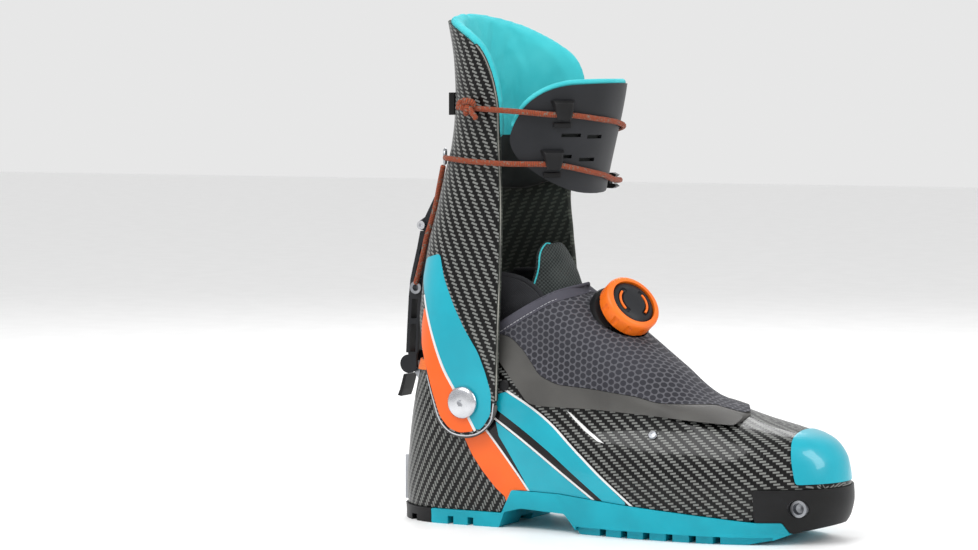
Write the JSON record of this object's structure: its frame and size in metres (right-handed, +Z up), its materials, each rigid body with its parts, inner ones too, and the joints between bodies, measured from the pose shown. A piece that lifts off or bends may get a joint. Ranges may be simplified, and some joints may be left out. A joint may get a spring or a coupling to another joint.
{
  "type": "alpine touring boot",
  "caption": "Right ski touring boot: carbon lower shell and pivoting cuff, laced instep gaiter with dial, front flap with cords, rear walk lever and lugged sole.",
  "frame": {"origin": "centre of the bounding box at the floor that the sole stands on", "axes": "+X to the toe, +Y to the inner (medial) side, +Z up"},
  "size_m": [0.3048, 0.1064, 0.3186],
  "materials": {
    "carbon": "clear-coated woven carbon",
    "teal_paint": "glossy moulded",
    "teal_rubber": "moulded, slightly matt",
    "teal_fabric": "padded lining",
    "orange_rubber": "ribbed grip",
    "orange_tape": "stitched edge tape",
    "black_rubber": "matt",
    "grey_plastic": "fine grained",
    "grey_band": "smooth flexible band",
    "gaiter_fabric": "printed woven",
    "mesh_fabric": "open mesh",
    "liner_fabric": "knitted",
    "aluminium": "machined",
    "steel": "brushed",
    "cord_braid": "braided cord",
    "lace_braid": "braided lace"
  },
  "bodies": {
    "lower_boot": {"lower_shell": "carbon", "toe_cap": "teal_paint", "gaiter": "gaiter_fabric", "gaiter_band": "grey_band", "outsole": "teal_rubber", "heel_rubber": "black_rubber", "toe_rubber": "black_rubber", "toe_insert": "steel", "heel_insert": "steel", "heel_insert_screw_1": "steel", "heel_insert_screw_2": "steel", "liner_bootie": "liner_fabric", "insole": "grey_band", "tongue_tab": "liner_fabric", "rim_tape": "orange_tape", "rear_gusset": "mesh_fabric", "pivot_bolt_lateral": "aluminium", "pivot_bolt_medial": "aluminium", "pivot_nut_lateral": "steel", "pivot_nut_medial": "steel", "stop_button_lateral": "black_rubber", "stop_button_medial": "black_rubber", "side_rivet_lateral": "steel", "side_rivet_medial": "steel", "lever_catch": "steel", "instep_lace": "lace_braid", "lace_guide_lateral": "grey_plastic", "lace_guide_medial": "grey_plastic", "dial_base": "black_rubber", "dial_ratchet": "grey_plastic"},
    "cuff": {"cuff_shell": "carbon", "collar_liner": "teal_fabric", "lever_mount": "grey_plastic", "mount_rivet": "aluminium", "spine_rivet": "aluminium", "lever_axle": "aluminium", "rear_cord_bracket": "black_rubber", "cord_knot": "cord_braid", "rear_ring_guide": "steel", "link_rivet": "aluminium", "cord_upper": "cord_braid", "cord_lower": "cord_braid", "cord_diagonal": "cord_braid", "cord_rear": "cord_braid"},
    "lever": {"lever_arm": "carbon", "lever_grip": "black_rubber", "cord_eye": "steel"},
    "flap": {"front_flap": "grey_plastic", "flap_liner": "teal_fabric", "cord_hook_upper": "grey_plastic", "cord_hook_lower": "grey_plastic", "flap_guide": "steel"},
    "tensioner_link": {"swivel_link": "aluminium", "pull_tab": "black_rubber", "cord_loop": "cord_braid"},
    "lace_spool": {"dial_spool": "grey_plastic"},
    "dial_knob": {"dial_ring": "orange_rubber", "dial_cap": "grey_plastic"}
  },
  "joints": [
    {"name": "cuff_tilt", "type": "hinge", "parent": "lower_boot", "child": "cuff", "pos_m": [-0.08477, 0, 0.078], "axis": [0, 1, 0], "range_deg": [-12, 20], "deforming": ["liner_bootie", "rear_gusset", "tongue_tab"]},
    {"name": "lever_swing", "type": "hinge", "parent": "cuff", "child": "lever", "pos_m": [-0.13077, 0, 0.186], "axis": [0, 1, 0], "range_deg": [0, 100], "deforming": ["cord_diagonal", "cord_rear"]},
    {"name": "flap_swing", "type": "hinge", "parent": "cuff", "child": "flap", "pos_m": [-0.06927, 0.04797, 0.24], "axis": [0, 0, 1], "range_deg": [0, 55], "deforming": ["cord_upper", "cord_lower", "cord_diagonal"]},
    {"name": "link_swivel", "type": "hinge", "parent": "cuff", "child": "tensioner_link", "pos_m": [-0.06777, 0.04747, 0.214], "axis": [0, 1, 0], "range_deg": [0, 60], "deforming": ["cord_lower"]},
    {"name": "dial_spin", "type": "hinge", "parent": "lower_boot", "child": "lace_spool", "pos_m": [0.00323, -0.00403, 0.1325], "axis": [0.7312, -0.3406, 0.591], "continuous": true},
    {"name": "dial_lift", "type": "slide", "parent": "lace_spool", "child": "dial_knob", "axis": [0.7312, -0.3406, 0.591], "range_m": [0, 0.003]}
  ]
}
